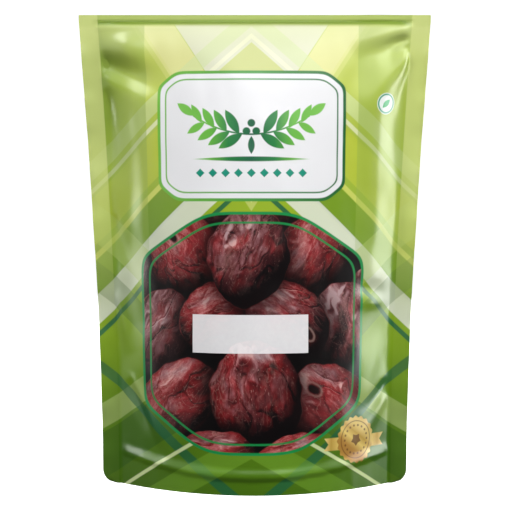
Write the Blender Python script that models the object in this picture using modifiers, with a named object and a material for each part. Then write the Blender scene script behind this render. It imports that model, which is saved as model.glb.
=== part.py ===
"""A filled stand-up pouch: a front and a back film panel, heat-sealed to each other down both sides and along the
top and to a folded gusset at the base, with a label stuck on the front and dried jujubes inside.

It stands on the bottom edges of its panels. +Z is up, the front faces -Y, and the origin is on the surface that it
stands on, under the middle of the pouch. Lengths are in metres.
"""

import math
import random

import bmesh
import bpy

# The pouch as bought, laid flat: a common 140 mm wide bag
POUCH_WIDTH = 0.140
POUCH_HEIGHT = 0.187
SIDE_SEAL = 0.0075
TOP_SEAL = 0.0026
CORNER_RADIUS = 0.0055

# How it fills out: deepest at the base and closing in a rounded wedge to the top seal
BASE_HALF_DEPTH = 0.027
BULGE_POWER = 0.47

# The laminate is drawn thicker than its real 0.12 mm, and welded faces keep a hairline between them
FILM = 0.0006
GAP = 0.0003

# The base: a seal that rises towards the sides, and a gusset arched between the two panels
SEAL_HEIGHT_MIDDLE = 0.006
SEAL_HEIGHT_SIDE = 0.013
RIDGE_HEIGHT_MIDDLE = 0.009
RIDGE_HEIGHT_SIDE = 0.024
GUSSET_LEG_SHARE = 1 / 6

# The label on the front
LABEL_WIDTH = 0.0445
LABEL_HEIGHT = 0.0148
LABEL_CENTRE_X = -0.0017
LABEL_CENTRE_Z = 0.062
LABEL_THICKNESS = 0.0004

# The fruit: layers of four in two rows, with one more beside each layer at both sides
FRUIT_HALF_LENGTH = 0.012
FRUIT_RADIUS = 0.0088
FRUIT_FOLDS = 4
FRUIT_FOLD_DEPTH = 0.10
FRUIT_DIMPLE = 0.14
FRUIT_LAYERS = 5
LAYER_PITCH = 0.0192
FIRST_LAYER_HEIGHT = 0.0215
PAIR_X = 0.0126
PAIR_Y = 0.0094
SINGLE_X = 0.0370
SINGLE_RAISE = 0.0085
MOST_TILT = math.radians(9)
MOST_YAW = math.radians(5)
FRUIT_SEED = 7

# How finely the film and the fruit are faceted
BODY_COLUMNS = 22
SEAL_COLUMNS = 1
PANEL_ROWS = 24
GUSSET_ROWS = 12
LABEL_COLUMNS = 10
LABEL_ROWS = 3
FRUIT_SEGMENTS = 16
FRUIT_RINGS = 8

FILM_SPAN = POUCH_WIDTH - 2 * SIDE_SEAL
BODY_TOP = POUCH_HEIGHT - TOP_SEAL
PANEL_COLUMNS = BODY_COLUMNS + 2 * SEAL_COLUMNS
GUSSET_COLUMNS = BODY_COLUMNS - 2
GUSSET_REACH = GUSSET_COLUMNS / BODY_COLUMNS
PANEL_OFFSET = (GAP + FILM) / 2

PRINTED_GREEN = (0.33, 0.50, 0.09, 1.0)
DEEP_GREEN = (0.16, 0.30, 0.05, 1.0)
LABEL_WHITE = (0.86, 0.84, 0.85, 1.0)
DRIED_RED = (0.16, 0.025, 0.022, 1.0)


def clear_scene():
    for obj in list(bpy.data.objects):
        bpy.data.objects.remove(obj)


def new_collection(name):
    collection = bpy.data.collections.new(name)
    bpy.context.scene.collection.children.link(collection)
    return collection


def material(name, colour, roughness):
    mat = bpy.data.materials.new(name)
    mat.use_nodes = True
    shader = mat.node_tree.nodes["Principled BSDF"]
    shader.inputs["Base Color"].default_value = colour
    shader.inputs["Roughness"].default_value = roughness
    shader.inputs["Metallic"].default_value = 0.0
    return mat


def half_depth(z):
    """How far the middle of a panel stands out from the seals at height z."""
    below_top = min(max((BODY_TOP - z) / BODY_TOP, 0.0), 1.0)
    return BASE_HALF_DEPTH * math.sin(math.pi / 2 * below_top) ** BULGE_POWER


def half_chord(z):
    """Half the distance between the side seals at height z: what is left of the film's span once it bows out."""
    bow = 32 / 3 * half_depth(z) ** 2
    return (FILM_SPAN + math.sqrt(FILM_SPAN**2 - bow)) / 4


def bulge(across, z):
    """How far a panel stands out at across, which is -1 and 1 at the side seals."""
    return half_depth(z) * max(1 - across**2, 0.0)


def slant(across, z):
    """How much longer a step along Y is than the same step along the panel's normal."""
    slope = 2 * across * half_depth(z) / half_chord(z)
    return math.sqrt(1 + slope**2)


def corner_cut(z):
    """How much of the side seal's width the rounded bottom corner takes away at height z."""
    if z >= CORNER_RADIUS:
        return 0.0
    return CORNER_RADIUS - math.sqrt(CORNER_RADIUS**2 - (CORNER_RADIUS - z) ** 2)


def panel_height(row):
    """Height of a row, from 0 to 1 up the grid, with rows closer together at the bottom corners and the top."""
    last_row = 1 - 1 / PANEL_ROWS
    if row > last_row:
        return BODY_TOP + TOP_SEAL * (row - last_row) / (1 - last_row)
    share = row / last_row
    return BODY_TOP * share**2 * (3 - 2 * share)


def panel_point(column, row, side):
    """A point of a panel's middle surface. column runs from -1 to 1 and row from 0 to 1; side is -1 at the front."""
    z = panel_height(row)
    body_share = BODY_COLUMNS / PANEL_COLUMNS
    across = column / body_share
    x = across * half_chord(z)
    if abs(across) > 1 + 1e-6:
        into_seal = (abs(column) - body_share) / (1 - body_share)
        x = math.copysign(half_chord(z) + into_seal * (SIDE_SEAL - corner_cut(z)), column)
    return x, side * (PANEL_OFFSET + bulge(across, z)), z


def seal_height(across):
    return SEAL_HEIGHT_MIDDLE + (SEAL_HEIGHT_SIDE - SEAL_HEIGHT_MIDDLE) * across**2


def ridge_height(across):
    share = (across / GUSSET_REACH) ** 2
    return RIDGE_HEIGHT_MIDDLE + (RIDGE_HEIGHT_SIDE - RIDGE_HEIGHT_MIDDLE) * share


def inside_depth(across, z):
    """How far from the middle plane a film lies that is welded to a panel's inner face."""
    return PANEL_OFFSET + bulge(across, z) - (FILM + GAP) * slant(across, z)


def gusset_point(column, row):
    """A point of the gusset's middle surface: up the front weld, over the arch and down the back weld."""
    across = column * GUSSET_REACH
    weld_top = seal_height(across)
    arch_end = 1 - GUSSET_LEG_SHARE
    if abs(row) > arch_end:
        z = weld_top * (1 - abs(row)) / GUSSET_LEG_SHARE
        y = math.copysign(inside_depth(across, z), row)
    else:
        angle = math.pi / 2 * row / arch_end
        z = weld_top + (ridge_height(across) - weld_top) * math.cos(angle)
        y = inside_depth(across, weld_top) * math.sin(angle)
    return across * half_chord(z), y, z


def label_point(column, row):
    """A point of the label's middle surface, which lies on the front panel."""
    x = LABEL_CENTRE_X + column * LABEL_WIDTH / 2
    z = LABEL_CENTRE_Z + row * LABEL_HEIGHT / 2
    across = x / half_chord(z)
    stands_off = (FILM / 2 + GAP + LABEL_THICKNESS / 2) * slant(across, z)
    return x, -(PANEL_OFFSET + bulge(across, z) + stands_off), z


def film_object(name, columns, rows, place, thickness, mat, collection):
    """A sheet bent from a flat grid: place gives each point of the grid its position, and Solidify its thickness."""
    sheet = bmesh.new()
    bmesh.ops.create_grid(sheet, x_segments=columns, y_segments=rows, size=1)
    for vert in sheet.verts:
        vert.co = place(vert.co.x, vert.co.y)
    mesh = bpy.data.meshes.new(name)
    sheet.to_mesh(mesh)
    sheet.free()
    mesh.shade_smooth()
    mesh.materials.append(mat)
    obj = bpy.data.objects.new(name, mesh)
    collection.objects.link(obj)
    solidify = obj.modifiers.new("film thickness", "SOLIDIFY")
    solidify.thickness = thickness
    solidify.offset = 0.0
    solidify.use_even_offset = True
    return obj


def make_panels(collection):
    printed = material("printed film", PRINTED_GREEN, 0.35)
    for name, side in (("front_panel", -1), ("back_panel", 1)):

        def place(column, row, side=side):
            return panel_point(column, (row + 1) / 2, side)

        film_object(name, PANEL_COLUMNS, PANEL_ROWS, place, FILM, printed, collection)


def make_gusset(collection):
    mat = material("gusset film", DEEP_GREEN, 0.4)
    film_object("base_gusset", GUSSET_COLUMNS, GUSSET_ROWS, gusset_point, FILM, mat, collection)


def make_label(collection):
    mat = material("label stock", LABEL_WHITE, 0.55)
    film_object("front_label", LABEL_COLUMNS, LABEL_ROWS, label_point, LABEL_THICKNESS, mat, collection)


def fruit_mesh(name, phase):
    """A dried jujube along Z: an oval fruit drawn in by lengthwise folds, with a dimple at both ends."""
    fruit = bmesh.new()
    bmesh.ops.create_uvsphere(fruit, u_segments=FRUIT_SEGMENTS, v_segments=FRUIT_RINGS, radius=1)
    for vert in fruit.verts:
        x, y, z = vert.co
        girth = math.hypot(x, y)
        fold = 0.5 - 0.5 * math.cos(FRUIT_FOLDS * math.atan2(y, x) + phase + z)
        drawn_in = 1 - FRUIT_FOLD_DEPTH * fold * girth
        dimple = 1 - FRUIT_DIMPLE * max(0.0, 1 - 2 * girth)
        vert.co = (
            x * FRUIT_RADIUS * drawn_in,
            y * FRUIT_RADIUS * drawn_in,
            z * FRUIT_HALF_LENGTH * dimple,
        )
    mesh = bpy.data.meshes.new(name)
    fruit.to_mesh(mesh)
    fruit.free()
    mesh.shade_smooth()
    return mesh


def fruit_places():
    """Where the fruit lie: four to a layer in two rows, and between the layers one more at each side."""
    for layer in range(FRUIT_LAYERS):
        z = FIRST_LAYER_HEIGHT + layer * LAYER_PITCH
        for x in (-PAIR_X, PAIR_X):
            for y in (-PAIR_Y, PAIR_Y):
                yield x, y, z
        if layer < FRUIT_LAYERS - 1:
            for x in (-SINGLE_X, SINGLE_X):
                yield x, 0.0, z + SINGLE_RAISE


def make_fruit(collection):
    mat = material("dried jujube", DRIED_RED, 0.5)
    draw = random.Random(FRUIT_SEED)
    for number, place in enumerate(fruit_places(), start=1):
        name = f"dried_jujube_{number:02d}"
        mesh = fruit_mesh(name, draw.uniform(0, 2 * math.pi))
        mesh.materials.append(mat)
        obj = bpy.data.objects.new(name, mesh)
        obj.location = place
        tilt = draw.uniform(-MOST_TILT, MOST_TILT)
        yaw = draw.uniform(-MOST_YAW, MOST_YAW)
        obj.rotation_euler = (0.0, math.pi / 2 + tilt, yaw)
        collection.objects.link(obj)


def main():
    clear_scene()
    collection = new_collection("stand-up pouch")
    make_panels(collection)
    make_gusset(collection)
    make_label(collection)
    make_fruit(collection)


main()
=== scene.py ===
import math
import random

import bmesh
import bpy
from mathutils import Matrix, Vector, noise


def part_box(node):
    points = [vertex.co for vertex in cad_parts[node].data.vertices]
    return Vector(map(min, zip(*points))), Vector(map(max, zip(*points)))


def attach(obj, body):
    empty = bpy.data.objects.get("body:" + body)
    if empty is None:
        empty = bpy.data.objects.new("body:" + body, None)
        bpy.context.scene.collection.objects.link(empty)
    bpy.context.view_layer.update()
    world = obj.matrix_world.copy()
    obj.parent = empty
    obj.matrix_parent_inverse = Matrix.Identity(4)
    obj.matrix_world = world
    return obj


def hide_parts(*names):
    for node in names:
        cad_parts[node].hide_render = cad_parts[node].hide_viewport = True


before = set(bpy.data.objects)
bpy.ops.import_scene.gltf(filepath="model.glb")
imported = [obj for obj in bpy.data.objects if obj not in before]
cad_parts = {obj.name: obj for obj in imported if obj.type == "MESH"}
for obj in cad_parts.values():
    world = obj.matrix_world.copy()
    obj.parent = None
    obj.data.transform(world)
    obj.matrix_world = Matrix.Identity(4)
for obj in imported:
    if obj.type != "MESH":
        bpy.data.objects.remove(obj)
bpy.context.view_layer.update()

# The pouch, in metres, as the frame holds it
POUCH_WIDTH = 0.140
POUCH_HEIGHT = 0.187
SIDE_SEAL = 0.0075
TOP_SEAL = 0.0026
CORNER_RADIUS = 0.0055
BASE_HALF_DEPTH = 0.027
BULGE_POWER = 0.47
FILM_SPAN = POUCH_WIDTH - 2 * SIDE_SEAL
BODY_TOP = POUCH_HEIGHT - TOP_SEAL

# The laminate at close to its real thickness, and the hairline between two welded sheets
FILM = 0.00018
HAIRLINE = 0.00003
PANEL_OFFSET = (FILM + HAIRLINE) / 2

# The base seal, which rises towards the sides, and the gusset arched between the panels
SEAL_HEIGHT_MIDDLE = 0.006
SEAL_HEIGHT_SIDE = 0.013
RIDGE_HEIGHT_MIDDLE = 0.009
RIDGE_HEIGHT_SIDE = 0.024
RIDGE_SIDE_REACH = 10 / 11
GUSSET_REACH = 0.975
GUSSET_LEG_SHARE = 1 / 6

# The label on the front
LABEL_WIDTH = 0.0445
LABEL_HEIGHT = 0.0148
LABEL_CENTRE_X = -0.0017
LABEL_CENTRE_Z = 0.062
LABEL_THICKNESS = 0.00012
LABEL_COLUMNS = 60
LABEL_ROWS = 20

# How finely the sheets are drawn
BODY_COLUMNS = 128
SEAL_COLUMNS = 8
BODY_ROWS = 196
TOP_ROWS = 6
GUSSET_COLUMNS = 120
GUSSET_ROWS = 90

FRONT = -1
BACK = 1
MM = 0.001


def half_depth(z):
    """How far the middle of a panel stands out from the seals at height z."""
    below_top = min(max((BODY_TOP - z) / BODY_TOP, 0.0), 1.0)
    return BASE_HALF_DEPTH * math.sin(math.pi / 2 * below_top) ** BULGE_POWER


def half_chord(z):
    """Half the distance between the side seals at height z."""
    bow = 32 / 3 * half_depth(z) ** 2
    return (FILM_SPAN + math.sqrt(FILM_SPAN**2 - bow)) / 4


def bulge(across, z):
    """How far a panel stands out at across, which is -1 and 1 at the side seals."""
    return half_depth(z) * max(1 - across**2, 0.0)


def edge_slope(z):
    return 2 * half_depth(z) / half_chord(z)


def slant(across, z):
    return math.sqrt(1 + (across * edge_slope(z)) ** 2)


def along_film(across, z):
    """Distance over the film from the middle of a panel, which is a parabola in plan."""
    rise = edge_slope(z)
    if rise < 1e-4:
        return across * half_chord(z)
    run = rise * across
    return half_chord(z) / 2 * (across * math.sqrt(1 + run**2) + math.asinh(run) / rise)


def corner_cut(z):
    """How much of the side seal's width the rounded bottom corner takes away at height z."""
    if z >= CORNER_RADIUS:
        return 0.0
    return CORNER_RADIUS - math.sqrt(CORNER_RADIUS**2 - (CORNER_RADIUS - z) ** 2)


def seal_height(across):
    return SEAL_HEIGHT_MIDDLE + (SEAL_HEIGHT_SIDE - SEAL_HEIGHT_MIDDLE) * across**2


def ridge_height(across):
    share = (across / RIDGE_SIDE_REACH) ** 2
    return RIDGE_HEIGHT_MIDDLE + (RIDGE_HEIGHT_SIDE - RIDGE_HEIGHT_MIDDLE) * share


# Folds in the front film: where each starts and ends on the flat film, its width and its height, all in mm.
# A fold below zero is a valley.
FRONT_FOLDS = (
    ((-66.0, 170.0), (-30.0, 154.0), 8.5, -2.60),
    ((-64.0, 164.0), (-34.0, 148.0), 7.0, 0.80),
    ((-61.5, 158.0), (-57.5, 118.0), 5.0, -1.20),
    ((62.2, 180.6), (36.0, 176.0), 5.6, 1.40),
    ((62.2, 178.0), (38.0, 168.0), 5.6, -1.50),
    ((62.3, 176.4), (55.0, 172.8), 1.6, 0.90),
    ((63.5, 172.5), (38.0, 138.0), 10.0, 2.40),
    ((62.3, 170.6), (57.0, 130.0), 5.0, -0.55),
    ((-55.0, 45.0), (-34.0, 13.0), 3.0, 0.50),
    ((-57.0, 42.0), (-38.0, 12.0), 3.2, -0.60),
    ((61.0, 42.0), (47.0, 27.0), 4.4, -0.65),
    ((60.0, 36.0), (40.0, 16.0), 5.4, 0.65),
    ((-61.5, 108.0), (-54.0, 84.0), 3.6, -0.60),
    ((-61.5, 78.0), (-55.0, 52.0), 3.4, 0.60),
)

# Dents in the front film: where each lies, how far it reaches across and up, and its height, all in mm
FRONT_DENTS = (
    ((-51.0, 173.8), (7.5, 6.5), 2.30),
    ((-53.2, 116.0), (5.0, 54.0), -1.00),
    ((48.5, 142.0), (6.5, 48.0), 1.40),
    ((57.0, 58.0), (6.0, 38.0), -0.50),
    ((49.0, 78.5), (5.5, 3.2), -0.90),
    ((50.0, 73.5), (6.0, 2.6), 0.50),
    ((-30.0, 22.0), (12.0, 7.0), 0.50),
    ((26.0, 24.0), (14.0, 7.0), 0.45),
)

# The back's folds, in mm: how many, where the lowest starts, how far up they go, and where the side seals end
BACK_FOLD_COUNT = 16
BACK_FOLD_LOWEST = 24
BACK_FOLD_RISE = 150
SEAL_INNER_EDGE = 62.2
BACK_FOLD_SEED = 4


def back_folds():
    """Short folds that run in from the side seals at uneven heights, as on the front."""
    draw = random.Random(BACK_FOLD_SEED)
    folds = []
    for number in range(BACK_FOLD_COUNT):
        side = -1 if number % 2 else 1
        height = BACK_FOLD_LOWEST + BACK_FOLD_RISE * number / BACK_FOLD_COUNT + draw.uniform(-4, 4)
        length = draw.uniform(12, 30)
        drop = draw.uniform(-16, 4)
        start = (side * SEAL_INNER_EDGE, height)
        end = (side * (SEAL_INNER_EDGE - length), height + drop)
        folds.append((start, end, draw.uniform(4.0, 7.0), draw.choice((-0.7, 0.5, 0.7))))
    folds.append(((-50.5, 150.0), (-51.5, 40.0), 7.0, 0.7))
    folds.append(((50.0, 142.0), (51.0, 30.0), 7.0, 0.7))
    return tuple(folds)


def up_to_one(value, reach):
    """A share that grows from 0 to 1 while a value goes from 0 to a reach."""
    return min(max(value / reach, 0.0), 1.0)


# How a fold starts: its width there as a share of its full width, and the share of its length it rises over
FOLD_START_WIDTH = 0.35
FOLD_RISES_OVER = 0.15


def fold_height(flat, fold):
    """Height of one fold at a point of the flat film, in mm. A fold starts narrow and steep, and runs out."""
    start, end, width, height = fold
    run = (end[0] - start[0], end[1] - start[1])
    length = math.hypot(*run)
    away = (flat[0] - start[0], flat[1] - start[1])
    share = (away[0] * run[0] + away[1] * run[1]) / length**2
    if not 0 < share < 1:
        return 0.0
    off = abs(away[0] * run[1] - away[1] * run[0]) / length
    spread = width * (FOLD_START_WIDTH + (1 - FOLD_START_WIDTH) * share)
    if off > 3 * spread:
        return 0.0
    grown = up_to_one(share, FOLD_RISES_OVER)
    faded = 1 - share
    return height * grown * (2 - grown) * faded * (2 - faded) * math.exp(-((off / spread) ** 2))


def dent_height(flat, dent):
    centre, reach, height = dent
    off = math.hypot((flat[0] - centre[0]) / reach[0], (flat[1] - centre[1]) / reach[1])
    return height * math.exp(-(off**2))


# What the heat seals press into the film beside them, in metres
TOP_GROOVE = 0.00045
TOP_GROOVE_WIDTH = 0.0006
TOP_GROOVE_DROP = 0.0004
TOP_ROLL = 0.00030
TOP_ROLL_WIDTH = 0.0011
TOP_ROLL_DROP = 0.0024
BASE_ROLL = 0.00090
BASE_ROLL_WIDTH = 0.0045
BASE_LINE_MIDDLE = 0.0056
BASE_LINE_SIDE = 0.0122
SIDE_BEAD = 0.00030
SIDE_BEAD_WIDTH = 0.0005

# Flutes in the base seal near the sides: their height in metres and their width in mm
SEAL_FLUTE = 0.00025
SEAL_FLUTE_WIDTH = 3.6

# The uneven swell over the fruit, and how far from the seals a fold, a swell or a roll comes free of them
CONTENTS_SWELL = 0.00040
FOLD_FREE = 0.0024
SWELL_FREE = 0.004
SWELL_FREE_AT_TOP = 0.008


def pressed(off, reach):
    return math.exp(-((off / reach) ** 2))


def contents_swell(flat, side):
    """What the fruit inside press into the film, from about -1 to 1."""
    broad = noise.noise(Vector((flat[0] / 15, flat[1] / 20, 5.0 * side)))
    fine = noise.noise(Vector((flat[0] / 6.5, flat[1] / 11, 9.0 * side)))
    return broad + 0.5 * fine


def seal_flutes(across, flat, side):
    """Shallow upright flutes in the base seal, from 0 to 1, that fade out towards the middle."""
    flute = 0.5 + 0.5 * noise.noise(Vector((flat[0] / SEAL_FLUTE_WIDTH, flat[1] / 40, 13.0 * side)))
    return flute * up_to_one(abs(across) - 0.40, 0.25)


def relief(across, z, side, folds, dents):
    """How far the body's film stands off its smooth shape, in metres, measured outwards."""
    flat = (along_film(across, z) / MM, z / MM)
    height = sum(fold_height(flat, fold) for fold in folds) + sum(dent_height(flat, dent) for dent in dents)
    from_seal = FILM_SPAN / 2 - abs(flat[0]) * MM
    fold_share = up_to_one(from_seal, FOLD_FREE)
    beside_seal = up_to_one(from_seal, SWELL_FREE)
    swell = contents_swell(flat, side) * beside_seal * up_to_one(BODY_TOP - z, SWELL_FREE_AT_TOP)
    base_line = BASE_LINE_MIDDLE + (BASE_LINE_SIDE - BASE_LINE_MIDDLE) * across**2
    roll = up_to_one(z - base_line, BASE_ROLL_WIDTH)
    freed = roll * roll * (3 - 2 * roll)
    outward = (height * MM * fold_share * (2 - fold_share) + CONTENTS_SWELL * swell) * freed
    outward += BASE_ROLL * (1.3 - across**2) * math.sin(math.pi * roll**0.6) * beside_seal
    outward += SEAL_FLUTE * seal_flutes(across, flat, side) * (1 - freed) * beside_seal
    outward -= TOP_GROOVE * pressed(z - (BODY_TOP - TOP_GROOVE_DROP), TOP_GROOVE_WIDTH)
    outward += TOP_ROLL * pressed(z - (BODY_TOP - TOP_ROLL_DROP), TOP_ROLL_WIDTH)
    outward += SIDE_BEAD * pressed(from_seal - SIDE_BEAD_WIDTH, SIDE_BEAD_WIDTH)
    return outward


# The side seals' waves, each with its size, its length and its phase, and the bow between their edges
FIN_WAVES = ((0.00060, 0.061, 0.4), (0.00030, 0.023, 1.9), (0.00012, 0.0094, 3.1))
FIN_BOW = 0.00045
FIN_BOW_LENGTH = 0.105


def fin_wave(z, reach):
    """How far both sheets of a side seal sway, most at the outer edge, and bow between their edges."""
    sway = sum(size * math.sin(2 * math.pi * z / length + phase) for size, length, phase in FIN_WAVES)
    bow = FIN_BOW * math.sin(math.pi * reach) * math.sin(2 * math.pi * z / FIN_BOW_LENGTH + 4.4)
    return (reach * sway + bow) * up_to_one(POUCH_HEIGHT - z, 0.02)


def row_height(row):
    """Height of a row from 0 to 1 up the grid."""
    last_row = BODY_ROWS / (BODY_ROWS + TOP_ROWS)
    if row > last_row:
        return BODY_TOP + TOP_SEAL * (row - last_row) / (1 - last_row)
    return BODY_TOP * row / last_row


def panel_spot(column, row, side, folds, dents):
    """A point of a panel's middle surface and its place on the flat film."""
    z = row_height(row)
    body_share = BODY_COLUMNS / (BODY_COLUMNS + 2 * SEAL_COLUMNS)
    across = column / body_share
    if abs(across) > 1 + 1e-6:
        reach = (abs(column) - body_share) / (1 - body_share)
        seal = reach * (SIDE_SEAL - corner_cut(z))
        point = Vector((half_chord(z) + seal, side * PANEL_OFFSET + fin_wave(z, reach), z))
        point.x = math.copysign(point.x, column)
        return point, (math.copysign(along_film(1, z) + seal, column), z)
    slope = across * edge_slope(z)
    outward = Vector((slope, side, 0)).normalized()
    smooth = Vector((across * half_chord(z), side * (PANEL_OFFSET + bulge(across, z)), z))
    point = smooth + outward * relief(across, z, side, folds, dents)
    return point, (along_film(across, z), z)


def finished(name, mesh, crease_angle=50):
    """A visible piece from a mesh: smooth, with its real edges kept sharp."""
    mesh.name = name
    mesh.shade_smooth()
    mesh.set_sharp_from_angle(angle=math.radians(crease_angle))
    piece = bpy.data.objects.new(name, mesh)
    bpy.context.scene.collection.objects.link(piece)
    return piece


def sheet_mesh(columns, rows, spot, thickness):
    """A bent sheet of film: a flat grid put in place by spot, with a map of the flat film and a thickness."""
    sheet = bmesh.new()
    bmesh.ops.create_grid(sheet, x_segments=columns, y_segments=rows, size=1)
    flat_map = sheet.loops.layers.uv.new("Film")
    for vert in sheet.verts:
        vert.co, flat = spot(vert.co.x, (vert.co.y + 1) / 2)
        for loop in vert.link_loops:
            loop[flat_map].uv = flat
    mesh = bpy.data.meshes.new("sheet")
    sheet.to_mesh(mesh)
    sheet.free()
    carrier = bpy.data.objects.new("sheet", mesh)
    bpy.context.scene.collection.objects.link(carrier)
    wall = carrier.modifiers.new("film thickness", "SOLIDIFY")
    wall.thickness = thickness
    wall.offset = 0.0
    wall.use_even_offset = True
    depsgraph = bpy.context.evaluated_depsgraph_get()
    solid = bpy.data.meshes.new_from_object(carrier.evaluated_get(depsgraph))
    bpy.data.objects.remove(carrier)
    bpy.data.meshes.remove(mesh)
    return solid


def make_panel(name, node, side, folds, dents, finish):
    def spot(column, row):
        return panel_spot(column, row, side, folds, dents)

    mesh = sheet_mesh(BODY_COLUMNS + 2 * SEAL_COLUMNS, BODY_ROWS + TOP_ROWS, spot, FILM)
    mesh.materials.append(finish)
    piece = finished(name, mesh)
    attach(piece, "root")
    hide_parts(node)


def inside_depth(across, z):
    """How far from the middle plane the gusset's film lies where it is welded inside a panel."""
    return PANEL_OFFSET + bulge(across, z) - (FILM + HAIRLINE) * slant(across, z)


def gusset_spot(column, row):
    """A point of the gusset: up the front weld, over the arch and down the back weld."""
    across = column * GUSSET_REACH
    turn = 2 * row - 1
    weld_top = seal_height(across)
    arch_end = 1 - GUSSET_LEG_SHARE
    if abs(turn) > arch_end:
        z = weld_top * (1 - abs(turn)) / GUSSET_LEG_SHARE
        y = math.copysign(inside_depth(across, z), turn)
    else:
        angle = math.pi / 2 * turn / arch_end
        z = weld_top + (ridge_height(across) - weld_top) * math.cos(angle)
        y = inside_depth(across, weld_top) * math.sin(angle)
    return Vector((across * half_chord(z), y, z)), (along_film(across, z), y)


def make_gusset(finish):
    mesh = sheet_mesh(GUSSET_COLUMNS, GUSSET_ROWS, gusset_spot, FILM)
    mesh.materials.append(finish)
    piece = finished("gusset_film", mesh)
    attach(piece, "root")
    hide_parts("base_gusset")


def label_spot(column, row):
    """A point of the label, which is stuck on the front film and follows it."""
    x = LABEL_CENTRE_X + column * LABEL_WIDTH / 2
    z = LABEL_CENTRE_Z + (row - 0.5) * LABEL_HEIGHT
    across = x / half_chord(z)
    outward = Vector((across * edge_slope(z), FRONT, 0)).normalized()
    smooth = Vector((x, FRONT * (PANEL_OFFSET + bulge(across, z)), z))
    stands_off = relief(across, z, FRONT, FRONT_FOLDS, FRONT_DENTS) + (FILM + LABEL_THICKNESS) / 2 + HAIRLINE
    return smooth + outward * stands_off, (along_film(across, z), z)


def make_label(finish):
    mesh = sheet_mesh(LABEL_COLUMNS, LABEL_ROWS, label_spot, LABEL_THICKNESS)
    mesh.materials.append(finish)
    piece = finished("white_label", mesh)
    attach(piece, "root")
    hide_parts("front_label")


class Value:
    """A number that varies over a surface. Arithmetic on it adds Math nodes."""

    def __init__(self, finish, socket):
        self.finish = finish
        self.socket = socket

    def math(self, operation, *others, clamp=False):
        settings = {"operation": operation, "use_clamp": clamp}
        return self.finish.number("ShaderNodeMath", settings, dict(enumerate((self, *others))))

    def __add__(self, other):
        return self.math("ADD", other)

    def __radd__(self, other):
        return self.math("ADD", other)

    def __sub__(self, other):
        return self.math("SUBTRACT", other)

    def __rsub__(self, other):
        return (self * -1) + other

    def __mul__(self, other):
        return self.math("MULTIPLY", other)

    def __rmul__(self, other):
        return self.math("MULTIPLY", other)

    def __abs__(self):
        return self.math("ABSOLUTE")

    def below(self, limit, soft):
        """1 where the value is under limit and 0 where it is over, with an edge that is soft wide."""
        return self.math("MULTIPLY_ADD", -1 / soft, limit / soft + 0.5, clamp=True)

    def above(self, limit, soft):
        return self.math("MULTIPLY_ADD", 1 / soft, 0.5 - limit / soft, clamp=True)


class Finish:
    """A material under construction, with its one Principled shader."""

    def __init__(self, name, roughness, gloss=0.5):
        self.material = bpy.data.materials.new(name)
        self.material.use_nodes = True
        self.tree = self.material.node_tree
        self.skin = self.tree.nodes["Principled BSDF"]
        self.skin.inputs["Roughness"].default_value = roughness
        self.skin.inputs["Specular IOR Level"].default_value = gloss

    def add(self, kind, settings, inputs):
        """A new node: its settings first, and then its sockets, each given a value or a link."""
        node = self.tree.nodes.new(kind)
        for name, value in settings.items():
            if name == "stops":
                ramp = node.color_ramp
                while len(ramp.elements) < len(value):
                    ramp.elements.new(0.5)
                for element, (position, colour) in zip(ramp.elements, value):
                    element.position = position
                    element.color = colour
            else:
                setattr(node, name, value)
        for name, value in inputs.items():
            socket = node.inputs[name]
            if isinstance(value, Value):
                self.tree.links.new(value.socket, socket)
            elif isinstance(value, bpy.types.NodeSocket):
                self.tree.links.new(value, socket)
            else:
                socket.default_value = value
        return node

    def number(self, kind, settings, inputs, output=0):
        return Value(self, self.add(kind, settings, inputs).outputs[output])

    def vector(self, operation, *inputs):
        node = self.add("ShaderNodeVectorMath", {"operation": operation}, dict(enumerate(inputs)))
        return node.outputs["Vector"]

    def measure(self, operation, *inputs):
        node = self.add("ShaderNodeVectorMath", {"operation": operation}, dict(enumerate(inputs)))
        return Value(self, node.outputs["Value"])

    def mix(self, share, first, second):
        """A mix of two numbers."""
        return self.number("ShaderNodeMix", {"data_type": "FLOAT"}, {0: share, 2: first, 3: second})

    def mix_vectors(self, share, first, second):
        return self.add("ShaderNodeMix", {"data_type": "VECTOR"}, {0: share, 4: first, 5: second}).outputs[1]

    def mix_colours(self, share, first, second, blend="MIX"):
        settings = {"data_type": "RGBA", "blend_type": blend}
        return self.add("ShaderNodeMix", settings, {0: share, 6: first, 7: second}).outputs[2]

    def ramp(self, value, *stops):
        return self.add("ShaderNodeValToRGB", {"stops": stops}, {"Fac": value}).outputs["Color"]

    def noise(self, spot, scale, detail=2.0, roughness=0.5, kind="FBM", distortion=0.0):
        inputs = {
            "Vector": spot,
            "Scale": scale,
            "Detail": detail,
            "Roughness": roughness,
            "Distortion": distortion,
        }
        return self.number("ShaderNodeTexNoise", {"noise_type": kind}, inputs)

    def film_map(self):
        """The place on the flat film, in mm."""
        place = self.add("ShaderNodeUVMap", {"uv_map": "Film"}, {}).outputs["UV"]
        return self.vector("MULTIPLY", place, (1000.0, 1000.0, 1000.0))

    def parts(self, spot):
        node = self.add("ShaderNodeSeparateXYZ", {}, {"Vector": spot})
        return Value(self, node.outputs["X"]), Value(self, node.outputs["Y"])

    def colour(self, socket):
        self.tree.links.new(socket, self.skin.inputs["Base Color"])

    def bump(self, height, strength, distance):
        inputs = {"Height": height, "Strength": strength, "Distance": distance}
        normal = self.add("ShaderNodeBump", {}, inputs).outputs["Normal"]
        self.tree.links.new(normal, self.skin.inputs["Normal"])


def paint(red, green, blue):
    """A colour from the 0 to 255 values of a display."""

    def linear(value):
        share = value / 255
        return share / 12.92 if share <= 0.04045 else ((share + 0.055) / 1.055) ** 2.4

    return (linear(red), linear(green), linear(blue), 1.0)


FILM_ROUGHNESS = 0.28
FILM_GLOSS = 0.40
LABEL_SHOW_THROUGH = 0.19

# Where the print lies on the flat film, in mm from the middle of the foot, and how soft its edges are
PRINT_MIDDLE = -1.3
EDGE = 0.35

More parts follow.
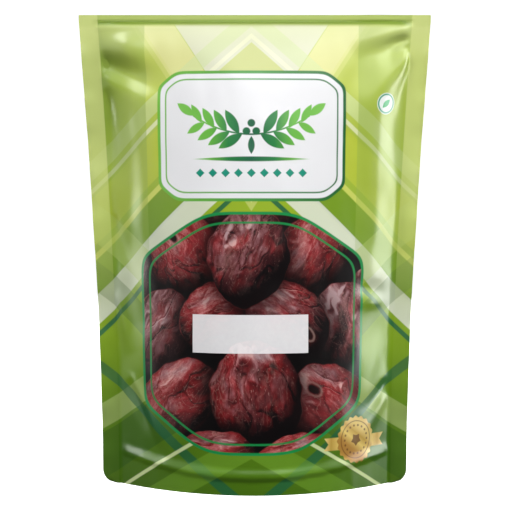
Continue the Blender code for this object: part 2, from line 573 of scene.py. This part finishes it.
# The plaque's and the picture's outlines, in mm: the middle's height, the half width and half height, the
# slanted corner's angle in degrees and its distance from the middle, and the rounding
PLAQUE_HEIGHT = 138.5
PLAQUE_HALF = (37.5, 25.5)
PLAQUE_CORNER = (52, 38.5)
PLAQUE_ROUNDING = 3.0
PICTURE_HEIGHT = 62.2
PICTURE_HALF = (46.7, 46.8)
PICTURE_CORNER = (58, 49.2)
PICTURE_ROUNDING = 7.0

# The picture's fruit from back to front. Each has its place from the picture's middle, its half length, its
# half width, its lean, its seed, and how brown it is.
PICTURE_FRUIT = (
    (-36, 38, 15, 12, 35, 1, 0.3),
    (-14, 43, 15, 12, -15, 2, 0.9),
    (11, 44, 16, 12, 25, 3, 0.1),
    (34, 36, 16, 13, -50, 4, 0.7),
    (-45, 14, 14, 12, 85, 5, 0.8),
    (46, 10, 14, 12, 75, 6, 0.2),
    (-44, -16, 14, 12, 100, 7, 0.1),
    (46, -20, 14, 12, 70, 8, 0.9),
    (-29, -44, 15, 12, 150, 9, 0.6),
    (31, -46, 15, 12, 30, 10, 0.2),
    (-23, 25, 17, 14, 120, 11, 0.15),
    (22, 25, 17, 14, 60, 12, 0.3),
    (-33, -2, 17, 14, 65, 13, 0.85),
    (35, 1, 17, 14, 110, 14, 1.0),
    (-10, 5, 16, 13, 20, 15, 0.2),
    (13, 4, 16, 13, -35, 16, 0.5),
    (-1, 26, 17, 14, 80, 17, 0.95),
    (-26, -25, 18, 15, 40, 18, 0.2),
    (29, -27, 19, 15, -42, 19, 0.35),
    (2, -21, 19, 16, -80, 20, 0.6),
    (-11, -45, 16, 12, 170, 21, 0.4),
    (16, -46, 16, 12, 15, 22, 0.1),
)
STALK_ENDS = {11: 0.58, 16: 0.50, 19: -0.55}
PICTURE_SPREAD = 1.12

# The way to the light in the picture: across and up, and out of it
PICTURE_LIGHT = (-0.35, 0.62)
PICTURE_LIGHT_OUT = 0.74
RIDGED = "RIDGED_MULTIFRACTAL"


def heap_of_fruit(finish, spot):
    """The heap laid from back to front: for each place, what is known of the fruit that shows there."""
    lumps = finish.add("ShaderNodeTexNoise", {}, {"Vector": spot, "Scale": 0.085, "Detail": 2.0})
    lumps_about_zero = finish.vector("MULTIPLY_ADD", lumps.outputs["Color"], (5, 5, 0), (-2.5, -2.5, 0))
    lumpy = finish.vector("ADD", spot, lumps_about_zero)
    surface = (0.0, 0.0, 0.0)
    toward_light = (0.0, 0.0, 0.0)
    light = 0.0
    rim = 1.0
    open_air = 0.0
    brownness = 0.0
    from_stalk = 1.0
    for x, z, half_length, half_width, lean, seed, brown_share in PICTURE_FRUIT:
        turn = math.radians(lean)
        centre = (PRINT_MIDDLE + x * PICTURE_SPREAD, PICTURE_HEIGHT + z * PICTURE_SPREAD, -seed)
        inputs = {
            "Vector": lumpy,
            "Location": centre,
            "Rotation": (0, 0, turn),
            "Scale": (half_length * PICTURE_SPREAD, half_width * PICTURE_SPREAD, 1),
        }
        local = finish.add("ShaderNodeMapping", {"vector_type": "TEXTURE"}, inputs).outputs["Vector"]
        radius = finish.measure("DISTANCE", local, (0, 0, seed))
        own_light = (
            math.cos(turn) * PICTURE_LIGHT[0] + math.sin(turn) * PICTURE_LIGHT[1],
            math.cos(turn) * PICTURE_LIGHT[1] - math.sin(turn) * PICTURE_LIGHT[0],
            0,
        )
        inside = radius.below(1, 0.035)
        shaded = radius.math("MULTIPLY_ADD", 1.7, -1.55, clamp=True)
        open_air = finish.mix(inside, shaded * open_air, 1.0)
        surface = finish.mix_vectors(inside, surface, local)
        toward_light = finish.mix_vectors(inside, toward_light, own_light)
        light = finish.mix(inside, light, finish.measure("DOT_PRODUCT", local, own_light))
        rim = finish.mix(inside, rim, radius)
        brownness = finish.mix(inside, brownness, brown_share)
        stalk = 1.0
        if seed in STALK_ENDS:
            stalk = finish.measure("DISTANCE", local, (STALK_ENDS[seed], 0.05, seed))
        from_stalk = finish.mix(inside, from_stalk, stalk)
    return surface, toward_light, light, rim, open_air, brownness, from_stalk


def picture_of_fruit(finish, spot):
    """A printed picture of a heap of dried jujubes, with wrinkled skins in reds and browns."""
    surface, toward_light, light, rim, open_air, brownness, from_stalk = heap_of_fruit(finish, spot)
    dome = (1 - rim * rim).math("MAXIMUM", 0.0).math("SQRT")
    tone = light + dome * PICTURE_LIGHT_OUT
    lengthwise = finish.vector("MULTIPLY", surface, (0.72, 1.2, 1.0))
    toward = finish.vector("MULTIPLY_ADD", toward_light, (0.06, 0.06, 0.06), lengthwise)
    folds = finish.noise(lengthwise, 1.15, 2.0, 0.5, RIDGED, 0.3)
    folds_beyond = finish.noise(toward, 1.15, 2.0, 0.5, RIDGED, 0.3)
    creases = finish.noise(lengthwise, 3.6, 5.0, 0.72, RIDGED, 0.5)
    near = finish.vector("MULTIPLY_ADD", toward_light, (0.03, 0.03, 0.03), lengthwise)
    creases_beyond = finish.noise(near, 3.6, 5.0, 0.72, RIDGED, 0.5)
    emboss = (folds - folds_beyond) * 3.0 + (creases - creases_beyond) * (brownness * 1.3 + 0.55)
    blotches = finish.noise(lengthwise, 2.4, 3.0) + (brownness - 0.5) * 0.30
    veins = abs(finish.noise(lengthwise, 1.8, 3.0, 0.5, "FBM", 0.8) - 0.5).below(0.006, 0.016)
    finer_veins = abs(finish.noise(lengthwise, 4.0, 2.0, 0.5, "FBM", 0.8) - 0.5).below(0.006, 0.02)
    deep = abs(finish.noise(lengthwise, 1.15, 2.0, 0.5, "FBM", 0.6) - 0.5).below(0.014, 0.045)
    lip = abs(finish.noise(near, 1.15, 2.0, 0.5, "FBM", 0.6) - 0.5).below(0.010, 0.03)
    dust = finish.noise(lengthwise, 2.6, 6.0, 0.7)
    specks = finish.noise(lengthwise, 22.0, 2.0, 0.6)
    grain = finish.noise(lengthwise, 12.0, 4.0, 0.75) - 0.5
    lit = tone * 0.74 + emboss * (tone * 1.8 + 0.34) + grain * (tone * 0.60 + 0.10)
    lit = lit + lip * tone * 0.34 - deep * 0.46 - 0.01
    red = finish.ramp(
        lit,
        (0.0, paint(12, 2, 4)),
        (0.20, paint(60, 8, 10)),
        (0.42, paint(112, 18, 22)),
        (0.64, paint(150, 42, 46)),
        (0.82, paint(192, 108, 108)),
        (1.0, paint(226, 176, 170)),
    )
    brown = finish.ramp(
        lit,
        (0.0, paint(9, 3, 5)),
        (0.26, paint(52, 16, 20)),
        (0.48, paint(96, 42, 44)),
        (0.72, paint(134, 86, 90)),
        (1.0, paint(180, 148, 150)),
    )
    skin = finish.mix_colours(blotches.above(0.5, 0.22), red, brown)
    shown = tone.math("MAXIMUM", 0.0)
    pale = (veins.math("MAXIMUM", finer_veins * 0.40) * 0.30 + dust.above(0.62, 0.18) * 0.28) * shown
    pale = pale + specks.above(0.66, 0.06) * shown * 0.5
    skin = finish.mix_colours(pale.math("MINIMUM", 0.7), skin, paint(204, 152, 144))
    skin = finish.mix_colours(abs(from_stalk - 0.15).below(0.02, 0.05) * 0.50, skin, paint(186, 150, 140))
    skin = finish.mix_colours(from_stalk.below(0.11, 0.05), skin, paint(30, 10, 10))
    return finish.mix_colours(open_air, paint(4, 2, 3), skin)


def rounded_outline(across, up, middle, half, corner, rounding):
    """Distance outside an eight-sided outline with soft corners, in mm, from a place in the print."""
    x = abs(across - PRINT_MIDDLE)
    z = abs(up - middle)
    lean = math.radians(corner[0])
    slanted = x * math.cos(lean) + z * math.sin(lean) - corner[1]
    sides = (x - half[0]).math("SMOOTH_MAX", slanted, rounding)
    return sides.math("SMOOTH_MAX", z - half[1], rounding)


def printed_front():
    """The front film's print: green chevrons, a plaque, a picture of fruit, a seal and a small mark."""
    finish = Finish("printed film", FILM_ROUGHNESS, FILM_GLOSS)
    spot = finish.film_map()
    across, up = finish.parts(spot)
    colour = background(finish, spot, across, up)
    colour = plaque(finish, colour, spot, across, up)
    colour = picture_panel(finish, colour, spot, across, up)
    colour = gold_seal(finish, colour, spot)
    finish.colour(small_mark(finish, colour, spot))
    return finish.material


# Chevrons behind the rest of the print. Each rises from the middle line at a slope in degrees, from a height
# there, and is a band of a width, or with None fills all that lies above. Then its colour and its strength.
CHEVRONS = (
    (57, 136, None, paint(222, 223, 200), 0.92),
    (57, 124, 12.5, paint(226, 224, 158), 0.80),
    (57, 112, 3.0, paint(214, 218, 130), 0.50),
    (-42, 186, 6, paint(206, 220, 158), 0.60),
    (-42, 178, 1.6, paint(240, 240, 208), 0.60),
    (-42, 166, 14, paint(190, 200, 58), 0.60),
    (-42, 152, 2.0, paint(214, 218, 104), 0.75),
    (-42, 143, 11, paint(96, 140, 22), 0.66),
    (-42, 131, 9, paint(230, 233, 218), 0.76),
    (-42, 121, 1.8, paint(10, 98, 64), 0.92),
    (38, 52, 13, paint(180, 202, 104), 0.45),
    (38, 30, 10, paint(44, 96, 10), 0.40),
    (-30, 66, 9, paint(196, 212, 136), 0.40),
    (-30, 50, 16, paint(40, 88, 10), 0.52),
    (38, -6, 4, paint(6, 96, 64), 0.70),
    (-30, 20, 10, paint(120, 168, 48), 0.45),
    (-30, 33, 1.4, paint(224, 238, 176), 0.85),
)

# Plain bands down both sides and along the top, and paler film over the seals, in mm
SIDE_BAND = 42.4
SEAL_EDGE = 62.5
TOP_BAND = 182.4


def background(finish, spot, across, up):
    """Greens that deepen towards the foot, under see-through chevrons, with painted shade high beside the
    left seal and along the top groove, and a painted highlight below the top seal.
    """
    colour = finish.ramp(
        up * (1 / 188),
        (0.0, paint(72, 112, 16)),
        (0.14, paint(88, 130, 18)),
        (0.30, paint(128, 162, 30)),
        (0.60, paint(150, 178, 38)),
        (0.84, paint(188, 202, 84)),
        (1.0, paint(198, 208, 116)),
    )
    mirrored = finish.vector("ABSOLUTE", finish.vector("ADD", spot, (-PRINT_MIDDLE, 0, 0)))
    for slope, height, width, shade, strength in CHEVRONS:
        turn = math.radians(slope)
        level = finish.measure("DOT_PRODUCT", mirrored, (-math.sin(turn), math.cos(turn), 0))
        above = level - height * math.cos(turn)
        share = above.above(0, EDGE) if width is None else abs(above).below(width / 2, EDGE)
        colour = finish.mix_colours(share * strength, colour, shade)
    beside = abs(across - PRINT_MIDDLE)
    high = up.above(95, 60)
    colour = finish.mix_colours(beside.above(SIDE_BAND, EDGE) * high * 0.55, colour, paint(150, 176, 70))
    # Painted shade: a deeper green high beside the left side seal, on the left only, stands in for the shade
    # that falls there
    painted_left_shade = across.below(-55, 12) * up.above(136, 20) * up.below(176, 10)
    colour = finish.mix_colours(painted_left_shade * 0.6, colour, paint(100, 130, 36))
    # Painted highlight: the film is mixed paler towards the top seal, from about 170 mm up
    colour = finish.mix_colours(up.above(176, 14) * 0.35, colour, paint(216, 224, 164))
    colour = finish.mix_colours(up.above(TOP_BAND, 1.2) * 0.9, colour, paint(176, 194, 104))
    # Painted shade: a darker green line along the top seal's groove, across the body between the side seals
    painted_groove_shade = abs(up - 184.0).below(0.95, 0.9)
    colour = finish.mix_colours(painted_groove_shade * beside.below(SEAL_EDGE, 3.0) * 0.85, colour, paint(116, 144, 40))
    over_seal = abs(across).above(SEAL_EDGE, EDGE) * high.math("MULTIPLY_ADD", 0.50, 0.03)
    return finish.mix_colours(over_seal, colour, paint(222, 230, 150))


def plaque(finish, colour, spot, across, up):
    """A white plaque with a double green outline and an ornament of its own."""
    outline = rounded_outline(across, up, PLAQUE_HEIGHT, PLAQUE_HALF, PLAQUE_CORNER, PLAQUE_ROUNDING)
    green = finish.ramp(
        (across + 38) * (1 / 76),
        (0.0, paint(112, 184, 60)),
        (0.5, paint(70, 150, 66)),
        (1.0, paint(14, 92, 44)),
    )
    colour = finish.mix_colours(outline.below(0, EDGE), colour, green)
    colour = finish.mix_colours(outline.below(-1.2, EDGE), colour, paint(235, 235, 237))
    inner = abs(outline + 3.4).below(0.28, EDGE)
    colour = finish.mix_colours(inner, colour, green)
    return garland(finish, colour, spot, across, up)


# The garland: leaves in pairs on a bowed stem, in mm from its middle, and their angles in degrees
GARLAND_HEIGHT = 139.0
GARLAND_LEAVES = 4
FIRST_LEAF = 3.6
LEAF_STEP = 4.9
LEAF_LENGTH = 11.0
LEAF_SHRINK = 0.9
LEAF_SLIMNESS = 0.35
LEAF_SPREAD = 46
LEAF_LEAN = 14
STEM_BOW = 0.014


def leaf(finish, spot, middle, length, width, lean):
    """1 inside a leaf with two pointed ends, round a middle and leaning by an angle in degrees."""
    inputs = {
        "Vector": spot,
        "Location": (*middle, 0),
        "Rotation": (0, 0, math.radians(lean)),
        "Scale": (length / 2, width / 2, 1),
    }
    local = finish.add("ShaderNodeMapping", {"vector_type": "TEXTURE"}, inputs).outputs["Vector"]
    along, beside = finish.parts(local)
    return (1 - along * along - abs(beside)).above(0, 2 * EDGE / width)


def garland(finish, colour, spot, across, up):
    """A leafy garland with berries at its middle, a tapered rule and a row of lozenges."""
    mirrored = finish.add(
        "ShaderNodeCombineXYZ", {}, {"X": abs(across - PRINT_MIDDLE), "Y": up - GARLAND_HEIGHT, "Z": 0.0}
    ).outputs["Vector"]
    x, z = finish.parts(mirrored)
    leaf_green = finish.ramp(
        x * (1 / 30),
        (0.0, paint(8, 92, 60)),
        (0.30, paint(28, 124, 58)),
        (0.55, paint(104, 180, 66)),
        (1.0, paint(126, 196, 84)),
    )
    stem = abs(z - x * x * STEM_BOW).below(0.34, EDGE) * x.below(23, EDGE)
    marks = stem
    for number in range(GARLAND_LEAVES):
        start = FIRST_LEAF + LEAF_STEP * number
        length = LEAF_LENGTH - LEAF_SHRINK * number
        for side in (-1, 1):
            lean = side * LEAF_SPREAD + LEAF_LEAN
            reach = length * 0.48
            x_leaf = start + reach * math.cos(math.radians(lean)) + (1.2 if side > 0 else 0)
            z_leaf = start**2 * STEM_BOW + reach * math.sin(math.radians(lean))
            blade = leaf(finish, mirrored, (x_leaf, z_leaf), length, length * LEAF_SLIMNESS, lean)
            marks = marks.math("MAXIMUM", blade)
    marks = marks.math("MAXIMUM", leaf(finish, mirrored, (25.8, 9.8), 8.4, 3.4, 36))
    berry = finish.measure("DISTANCE", mirrored, (1.9, 1.2, 0)).below(1.5, EDGE)
    top_berry = finish.measure("DISTANCE", mirrored, (0, 4.4, 0)).below(1.5, EDGE)
    low_leaf = leaf(finish, mirrored, (0, -4.2), 7.0, 2.6, 90)
    marks = marks.math("MAXIMUM", berry.math("MAXIMUM", top_berry)).math("MAXIMUM", low_leaf)
    colour = finish.mix_colours(marks, colour, leaf_green)
    taper = (1 - x * x * (1 / 22**2)) * 0.95
    rule = (abs(z + 9.6) - taper).below(0, EDGE)
    colour = finish.mix_colours(rule, colour, leaf_green)
    step = x.math("PINGPONG", 2.5)
    lozenges = (step + abs(z + 15.0)).below(1.7, EDGE) * x.below(22.4, EDGE)
    return finish.mix_colours(lozenges, colour, paint(16, 142, 116))


# The gold seal low on the right and the small mark high on the right, in mm on the flat film
SEAL_PLACE = (43.0, 19.5)
SEAL_RADIUS = 9.0
SEAL_SCALLOPS = 20
SEAL_BEADS = 18
MARK_PLACE = (52.4, 151.5)


def gold_seal(finish, colour, spot):
    """A round scalloped seal in gold, with a star, a ring of dots and two ribbon ends."""
    gold = (
        (0.0, paint(134, 78, 32)),
        (0.3, paint(188, 140, 62)),
        (0.55, paint(232, 204, 112)),
        (0.8, paint(198, 160, 70)),
        (1.0, paint(240, 216, 136)),
    )
    place = finish.vector("SUBTRACT", spot, (*SEAL_PLACE, 0))
    x, z = finish.parts(place)
    wide = abs(x)
    # Painted sheen: the gold's light and dark stops, laid by a wave across the face and by distance along the
    # ribbons, stand in for the foil's reflection
    sheen = ((x * 0.16 + z * 0.22).math("SINE")) * 0.35 + 0.6
    fork = (abs(z + 1.0) * 0.8 + 13.2 - wide).above(0, EDGE)
    ribbon = abs(z + 1.0).below(2.5, EDGE) * fork * wide.above(SEAL_RADIUS - 1, EDGE)
    ribbon_gold = finish.ramp(wide * (1 / 15), *gold)
    colour = finish.mix_colours(ribbon, colour, ribbon_gold)
    turn = z.math("ARCTAN2", x)
    out = finish.measure("LENGTH", place)
    edge = out - (turn * SEAL_SCALLOPS).math("COSINE") * 0.35
    face = finish.ramp(sheen, *gold)
    colour = finish.mix_colours(edge.below(SEAL_RADIUS, EDGE), colour, face)
    ring = abs(out - SEAL_RADIUS + 1.7).below(0.18, EDGE)
    brown = paint(104, 62, 28)
    colour = finish.mix_colours(ring * 0.8, colour, brown)
    bead = (turn + math.pi).math("PINGPONG", math.pi / SEAL_BEADS)
    away = (bead * bead * 28 + (out - 5.6) * (out - 5.6)).below(0.2, 0.25)
    colour = finish.mix_colours(away * 0.8, colour, brown)
    point = (turn + math.pi / 2 + 2 * math.pi).math("PINGPONG", math.pi / 5)
    star = out * point.math("COSINE") + out * point.math("SINE") * 1.25
    return finish.mix_colours(star.below(2.6, EDGE) * 0.85, colour, brown)


def small_mark(finish, colour, spot):
    """A small white disc with a green ring and a leaf."""
    out = finish.measure("DISTANCE", spot, (*MARK_PLACE, 0))
    teal = paint(30, 150, 110)
    colour = finish.mix_colours(out.below(4.2, EDGE), colour, paint(240, 246, 242))
    colour = finish.mix_colours(abs(out - 3.6).below(0.3, EDGE), colour, teal)
    return finish.mix_colours(leaf(finish, spot, MARK_PLACE, 4.6, 2.2, 45), colour, paint(50, 172, 104))


def picture_panel(finish, colour, spot, across, up):
    """The picture of the fruit, with an outline and a second line drawn inside it."""
    outline = rounded_outline(across, up, PICTURE_HEIGHT, PICTURE_HALF, PICTURE_CORNER, PICTURE_ROUNDING)
    picture = picture_of_fruit(finish, spot)
    line = paint(20, 142, 72)
    colour = finish.mix_colours(outline.below(0, EDGE), colour, line)
    colour = finish.mix_colours(outline.below(-1.1, EDGE), colour, picture)
    inner = abs(outline + 4.2).below(0.4, EDGE)
    return finish.mix_colours(inner * 0.9, colour, line)


# The back's white panel, in mm: the height of its middle, its half size, its corners' rounding, and the step
# between its rules
BACK_PANEL_MIDDLE = 92.0
BACK_PANEL_HALF = (33.0, 50.0)
BACK_PANEL_ROUNDING = 3.0
BACK_LINE_STEP = 7.0


def printed_back():
    """The back film's print: the same chevrons round a white panel that holds faint rules."""
    finish = Finish("back film print", FILM_ROUGHNESS, FILM_GLOSS)
    spot = finish.film_map()
    across, up = finish.parts(spot)
    colour = background(finish, spot, across, up)
    corner = (45, sum(BACK_PANEL_HALF) * math.sqrt(0.5) - BACK_PANEL_ROUNDING)
    outline = rounded_outline(across, up, BACK_PANEL_MIDDLE, BACK_PANEL_HALF, corner, BACK_PANEL_ROUNDING)
    colour = finish.mix_colours(outline.below(0, EDGE), colour, paint(30, 122, 60))
    colour = finish.mix_colours(outline.below(-1.1, EDGE), colour, paint(238, 240, 236))
    half_step = BACK_LINE_STEP / 2
    line = (up - BACK_PANEL_MIDDLE + half_step).math("PINGPONG", half_step).below(0.25, EDGE)
    rules = line * outline.below(-5.0, EDGE)
    finish.colour(finish.mix_colours(rules * 0.6, colour, paint(120, 168, 110)))
    return finish.material


def gusset_film():
    finish = Finish("gusset film", FILM_ROUGHNESS, FILM_GLOSS)
    place = finish.add("ShaderNodeTexCoord", {}, {}).outputs["Object"]
    shade = finish.noise(place, 60.0, 3.0)
    finish.colour(finish.ramp(shade, (0.3, paint(52, 92, 18)), (0.7, paint(74, 120, 26))))
    return finish.material


def label_stock():
    """The white label, which lets a little of the picture under it show through."""
    finish = Finish("label stock", 0.5, FILM_GLOSS)
    beneath = picture_of_fruit(finish, finish.film_map())
    place = finish.add("ShaderNodeTexCoord", {}, {}).outputs["Object"]
    mottle = finish.noise(place, 700.0, 3.0)
    white = finish.ramp(mottle, (0.3, paint(250, 248, 250)), (0.7, paint(253, 252, 253)))
    finish.colour(finish.mix_colours(LABEL_SHOW_THROUGH, white, beneath))
    return finish.material


def fruit_skin():
    """Skin of the real fruit in the pouch."""
    finish = Finish("dried jujube skin", 0.42)
    place = finish.add("ShaderNodeTexCoord", {}, {}).outputs["Object"]
    wrinkles = finish.noise(place, 170.0, 5.0, 0.6, RIDGED, 0.4)
    blotches = finish.noise(place, 90.0, 3.0)
    red = finish.ramp(
        wrinkles,
        (0.1, paint(52, 8, 10)),
        (0.6, paint(110, 24, 24)),
        (1.0, paint(176, 92, 84)),
    )
    brown = finish.ramp(wrinkles, (0.1, paint(34, 12, 14)), (1.0, paint(128, 78, 76)))
    finish.colour(finish.mix_colours(blotches.above(0.5, 0.3), red, brown))
    finish.bump(wrinkles, 0.5, 0.0008)
    return finish.material


# The real fruit: their number, the half length that their wrinkles are scaled to, and the wrinkles' depth
FRUIT_COUNT = 28
FRUIT_REACH = 0.012
WRINKLE_DEPTH = 0.0006


def make_fruit(finish):
    """The fruit in the pouch: each solid's own shape, drawn finer and wrinkled."""
    for number in range(1, FRUIT_COUNT + 1):
        node = f"dried_jujube_{number:02d}"
        low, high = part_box(node)
        centre = (low + high) / 2
        fruit = bmesh.new()
        fruit.from_mesh(bpy.data.objects[node].data)
        bmesh.ops.remove_doubles(fruit, verts=fruit.verts, dist=1e-6)
        bmesh.ops.subdivide_edges(fruit, edges=fruit.edges, cuts=3, use_grid_fill=True, smooth=0.8)
        fruit.normal_update()
        for vert in fruit.verts:
            place = (vert.co - centre) / FRUIT_REACH
            spot = Vector((place.x * 1.4, place.y * 2.6, place.z * 2.6 + 7 * number))
            fold = noise.ridged_multi_fractal(spot, 0.9, 2.1, 4, 1.0, 2.0)
            vert.co -= vert.normal * WRINKLE_DEPTH * (1.6 - min(fold, 1.6))
        mesh = bpy.data.meshes.new(node)
        fruit.to_mesh(mesh)
        fruit.free()
        mesh.materials.clear()
        mesh.materials.append(finish)
        piece = finished(f"jujube_{number:02d}", mesh, 180)
        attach(piece, "root")
        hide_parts(node)


# The floor, which curves up into a backdrop all round
FLOOR_HALF = 3.0
SWEEP_START = 1.5
SWEEP_RADIUS = 0.6
FLOOR_GLOW = 0.88


def make_floor():
    sheet = bmesh.new()
    bmesh.ops.create_grid(sheet, x_segments=120, y_segments=120, size=FLOOR_HALF)
    for vert in sheet.verts:
        out = math.hypot(vert.co.x, vert.co.y)
        past = out - SWEEP_START
        if past > 0:
            turn = min(past / SWEEP_RADIUS, math.pi / 2)
            inward = (SWEEP_START + SWEEP_RADIUS * math.sin(turn)) / out
            vert.co.x *= inward
            vert.co.y *= inward
            vert.co.z = SWEEP_RADIUS * (1 - math.cos(turn)) + past - turn * SWEEP_RADIUS
    mesh = bpy.data.meshes.new("floor")
    sheet.to_mesh(mesh)
    sheet.free()
    finish = Finish("pale floor", 0.9)
    finish.skin.inputs["Emission Color"].default_value = (1, 1, 1, 1)
    finish.skin.inputs["Emission Strength"].default_value = FLOOR_GLOW
    place = finish.add("ShaderNodeTexCoord", {}, {}).outputs["Object"]
    shade = finish.noise(place, 4.0)
    finish.colour(finish.ramp(shade, (0.3, paint(246, 246, 246)), (0.7, paint(250, 250, 250))))
    mesh.materials.append(finish.material)
    floor = finished("floor", mesh)
    floor.visible_glossy = False
    floor.visible_diffuse = False


# The camera, the height that the lamps are turned to, and the studio's even light
CAMERA_PLACE = (0.0005, -0.600, 0.1132)
CAMERA_PITCH = 0.0367
CAMERA_LENS = 105.6
LAMP_TARGET = (0, 0, 0.09)
EVEN_LIGHT = 0.08


def aim(obj, target):
    """Points a lamp, which shines along its own -Z, at a place."""
    obj.rotation_euler = (Vector(target) - obj.location).to_track_quat("-Z", "Y").to_euler()


def make_camera():
    camera = bpy.data.objects.new("camera", bpy.data.cameras.new("camera"))
    camera.location = CAMERA_PLACE
    camera.data.lens = CAMERA_LENS
    camera.rotation_euler = (math.pi / 2 - CAMERA_PITCH, 0, 0)
    bpy.context.scene.collection.objects.link(camera)
    bpy.context.scene.camera = camera


def softbox(name, place, size, power, fills=True, glints=True):
    """A soft lamp turned to the pouch. It can light without showing in the gloss, or show there alone."""
    data = bpy.data.lights.new(name, "AREA")
    data.shape = "RECTANGLE"
    data.size, data.size_y = size
    data.energy = power
    lamp = bpy.data.objects.new(name, data)
    lamp.location = place
    lamp.visible_camera = False
    lamp.visible_diffuse = fills
    lamp.visible_glossy = glints
    aim(lamp, LAMP_TARGET)
    bpy.context.scene.collection.objects.link(lamp)


def make_lights():
    softbox("key softbox", (0.20, -0.62, 0.88), (0.80, 0.50), 7.1, glints=False)
    softbox("front softbox", (0.15, -0.75, 0.70), (0.80, 0.40), 3.6, fills=False)
    softbox("right fill", (0.80, -0.50, 0.35), (0.30, 0.60), 4.5, glints=False)
    softbox("left fill", (-0.80, -0.60, 0.30), (0.30, 0.60), 4.1, glints=False)
    softbox("right strip", (0.90, -0.05, 0.33), (0.32, 0.9), 12.0, fills=False)
    softbox("left strip", (-0.92, -0.07, 0.42), (0.32, 0.8), 8.0, fills=False)
    softbox("right top box", (0.60, -0.42, 0.85), (0.40, 0.40), 4.4, fills=False)
    softbox("left top box", (-0.58, -0.42, 0.85), (0.35, 0.35), 5.0, fills=False)
    softbox("back fill", (0.0, 0.95, 0.55), (0.90, 0.60), 10.0)
    softbox("top strip", (0.0, -0.45, 1.20), (0.8, 0.10), 2.0, fills=False)
    world = bpy.data.worlds.new("studio")
    world.use_nodes = True
    world.node_tree.nodes["Background"].inputs["Color"].default_value = (1, 1, 1, 1)
    world.node_tree.nodes["Background"].inputs["Strength"].default_value = EVEN_LIGHT
    bpy.context.scene.world = world
    bpy.context.scene.view_settings.view_transform = "Standard"


def main():
    make_panel("front_film", "front_panel", FRONT, FRONT_FOLDS, FRONT_DENTS, printed_front())
    make_panel("back_film", "back_panel", BACK, back_folds(), (), printed_back())
    make_gusset(gusset_film())
    make_label(label_stock())
    make_fruit(fruit_skin())
    make_floor()
    make_camera()
    make_lights()


main()
